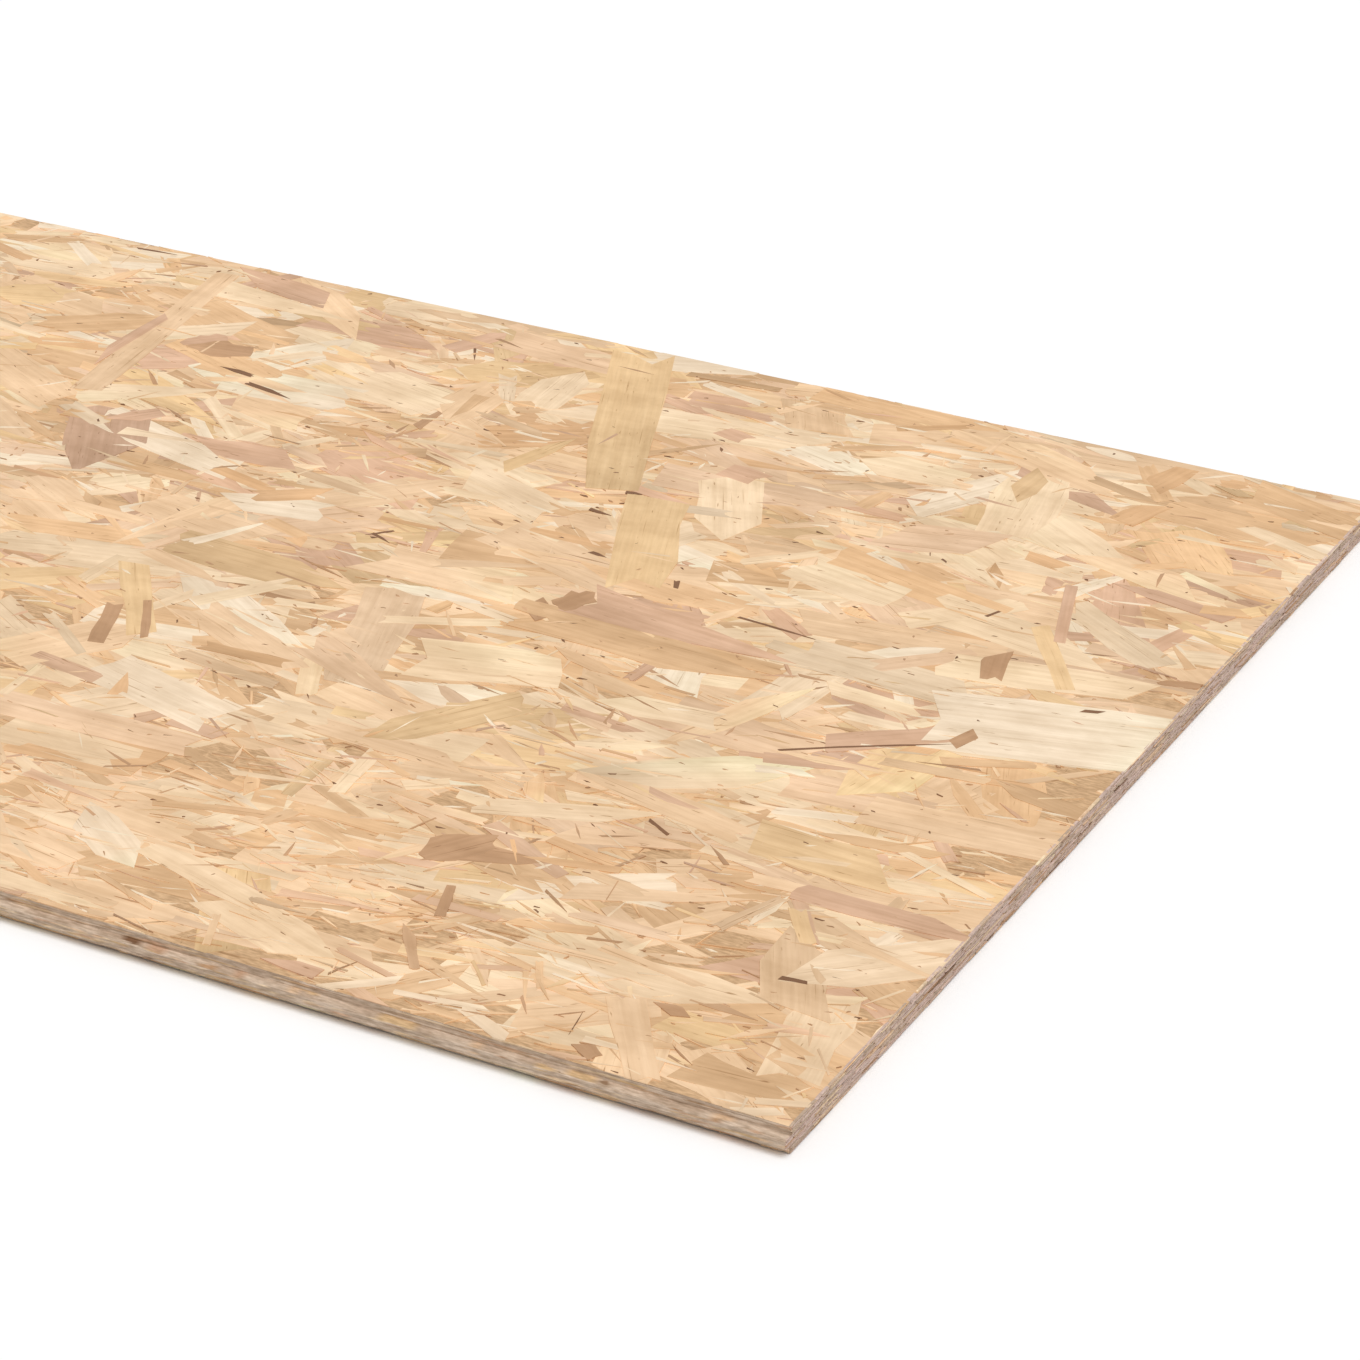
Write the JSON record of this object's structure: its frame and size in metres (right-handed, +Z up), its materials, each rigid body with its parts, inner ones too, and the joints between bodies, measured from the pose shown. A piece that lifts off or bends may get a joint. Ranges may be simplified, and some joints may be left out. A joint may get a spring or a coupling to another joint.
{
  "type": "tongue and groove osb board",
  "caption": "Flat oriented strand board with a tongue along one long edge, a matching groove along the other and square-cut ends.",
  "frame": {"origin": "on the underside, midway along the length and midway across the full width, tongue included", "axes": "+X along the board's length; +Y across it, from the tongue to the groove; +Z up, out of the top face"},
  "size_m": [2.05, 0.679, 0.012],
  "materials": {
    "strand_board": "pressed wood strands, unsanded, matt"
  },
  "bodies": {
    "root": {"osb_board": "strand_board"}
  },
  "joints": []
}
